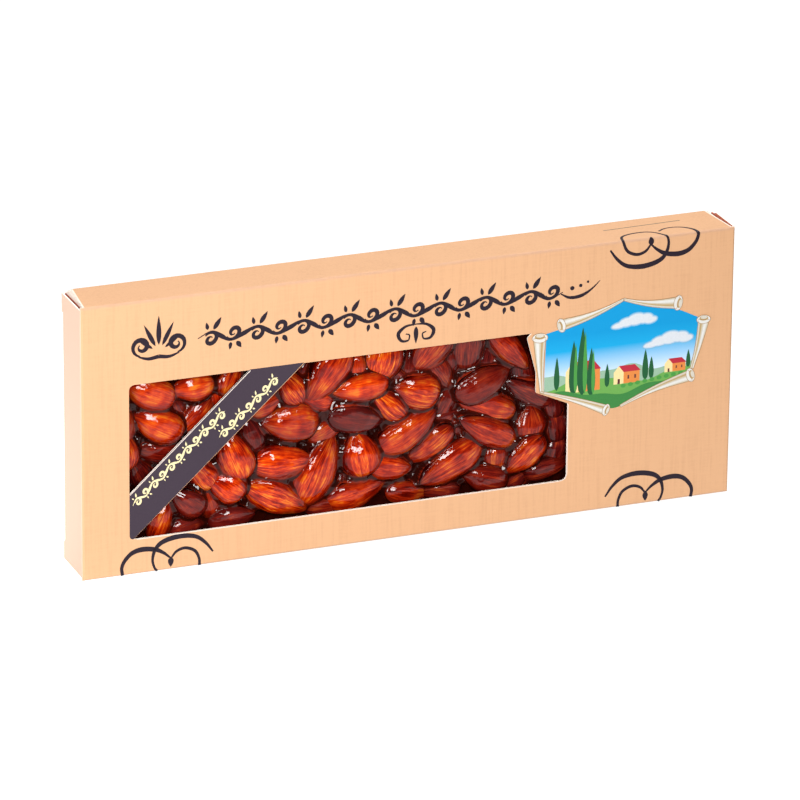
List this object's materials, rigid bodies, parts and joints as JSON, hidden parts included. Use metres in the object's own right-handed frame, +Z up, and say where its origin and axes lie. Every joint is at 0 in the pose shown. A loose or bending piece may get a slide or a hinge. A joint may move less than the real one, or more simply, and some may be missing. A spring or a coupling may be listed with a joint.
{
  "type": "window carton of almond brittle",
  "caption": "Shut flat folding carton standing on its long narrow side, with a die-cut window that shows a slab of almond brittle inside.",
  "frame": {"origin": "middle of the carton's underside, where it stands", "axes": "+X along the long side, -Y out of the front panel with the window, +Z up"},
  "size_m": [0.23, 0.019, 0.095],
  "materials": {
    "board": "matte peach printed folding board with dark plum ornament and white cut edges",
    "brittle": "whole brown almonds under a glossy dark caramel"
  },
  "bodies": {
    "root": {"carton": "board", "brittle": "brittle"}
  },
  "joints": []
}
